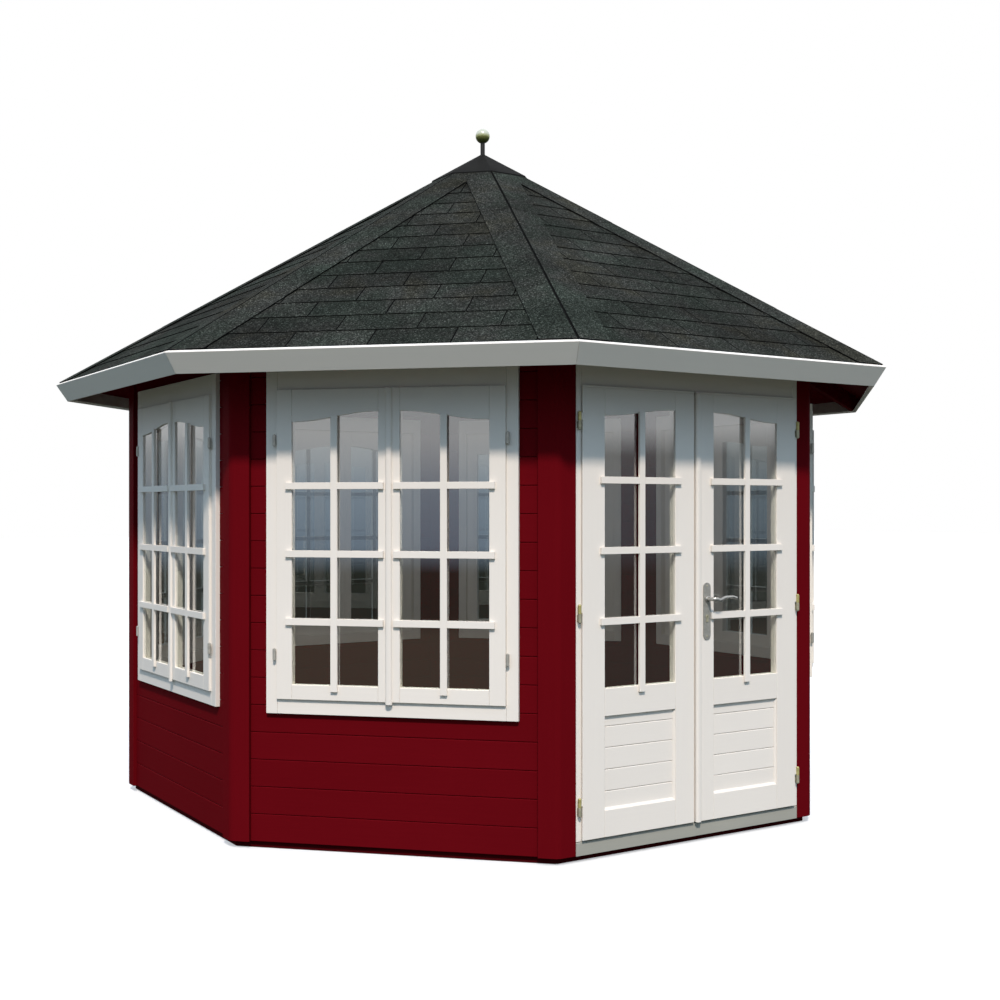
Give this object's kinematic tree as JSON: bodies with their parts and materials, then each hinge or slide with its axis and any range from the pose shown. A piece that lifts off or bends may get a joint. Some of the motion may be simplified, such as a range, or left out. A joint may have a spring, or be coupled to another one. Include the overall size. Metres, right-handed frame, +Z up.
{
  "type": "octagonal glazed garden gazebo",
  "caption": "Eight-sided enclosed garden pavilion with arched multi-pane windows, glazed double door and shingled pyramid roof with finial.",
  "frame": {"origin": "centre of the octagon on the ground, at the underside of the base frame", "axes": "+Z up, the double door faces -Y, +X to the right of the door seen from outside"},
  "size_m": [4.014, 4.014, 3.4361],
  "materials": {
    "red_paint": "satin dark red wood stain",
    "white_paint": "satin warm white paint",
    "base_timber": "dark pressure-treated timber",
    "floor_boards": "brown floor boards",
    "threshold": "dull grey metal-faced threshold",
    "roof_shingle": "charcoal bitumen shingles on boards",
    "glass": "clear glass",
    "hinge_brass": "dulled yellow-passivated hinges",
    "handle_steel": "satin steel",
    "cap_metal": "dark grey coated sheet",
    "finial_brass": "polished olive brass"
  },
  "bodies": {
    "house": {"base_frame": "base_timber", "floor_joists": "base_timber", "floor_boards": "floor_boards", "corner_posts": "red_paint", "front_left_wall": "red_paint", "left_wall": "red_paint", "back_left_wall": "red_paint", "back_wall": "red_paint", "back_right_wall": "red_paint", "right_wall": "red_paint", "front_right_wall": "red_paint", "door_head_wall": "red_paint", "wall_plates": "red_paint", "window_frames": "white_paint", "window_left_sashes": "white_paint", "window_right_sashes": "white_paint", "window_glass": "glass", "door_frame": "white_paint", "door_threshold": "threshold", "frame_hinges": "hinge_brass", "hip_rafters": "red_paint", "king_block": "red_paint", "front_roof_panel": "roof_shingle", "front_left_roof_panel": "roof_shingle", "left_roof_panel": "roof_shingle", "back_left_roof_panel": "roof_shingle", "back_roof_panel": "roof_shingle", "back_right_roof_panel": "roof_shingle", "right_roof_panel": "roof_shingle", "front_right_roof_panel": "roof_shingle", "fascia_boards": "white_paint", "roof_cap": "cap_metal", "finial": "finial_brass"},
    "left_leaf": {"left_leaf": "white_paint", "left_leaf_glass": "glass", "left_leaf_hinges": "hinge_brass"},
    "right_leaf": {"right_leaf": "white_paint", "right_leaf_glass": "glass", "right_leaf_hinges": "hinge_brass", "handle_plates": "handle_steel"},
    "lever": {"handle_lever": "handle_steel"}
  },
  "joints": [
    {"name": "left_leaf_hinge", "type": "hinge", "parent": "house", "child": "left_leaf", "pos_m": [-0.60432, -1.6975, 0.09], "axis": [0, 0, -1], "range_deg": [0, 100]},
    {"name": "right_leaf_hinge", "type": "hinge", "parent": "house", "child": "right_leaf", "pos_m": [0.60432, -1.6975, 0.09], "axis": [0, 0, 1], "range_deg": [0, 100]},
    {"name": "lever_turn", "type": "hinge", "parent": "right_leaf", "child": "lever", "pos_m": [0.065, -1.675, 1.035], "axis": [0, 1, 0], "range_deg": [0, 35], "stiffness_Nm_per_rad": 1.5, "springref_deg": -34.38}
  ]
}
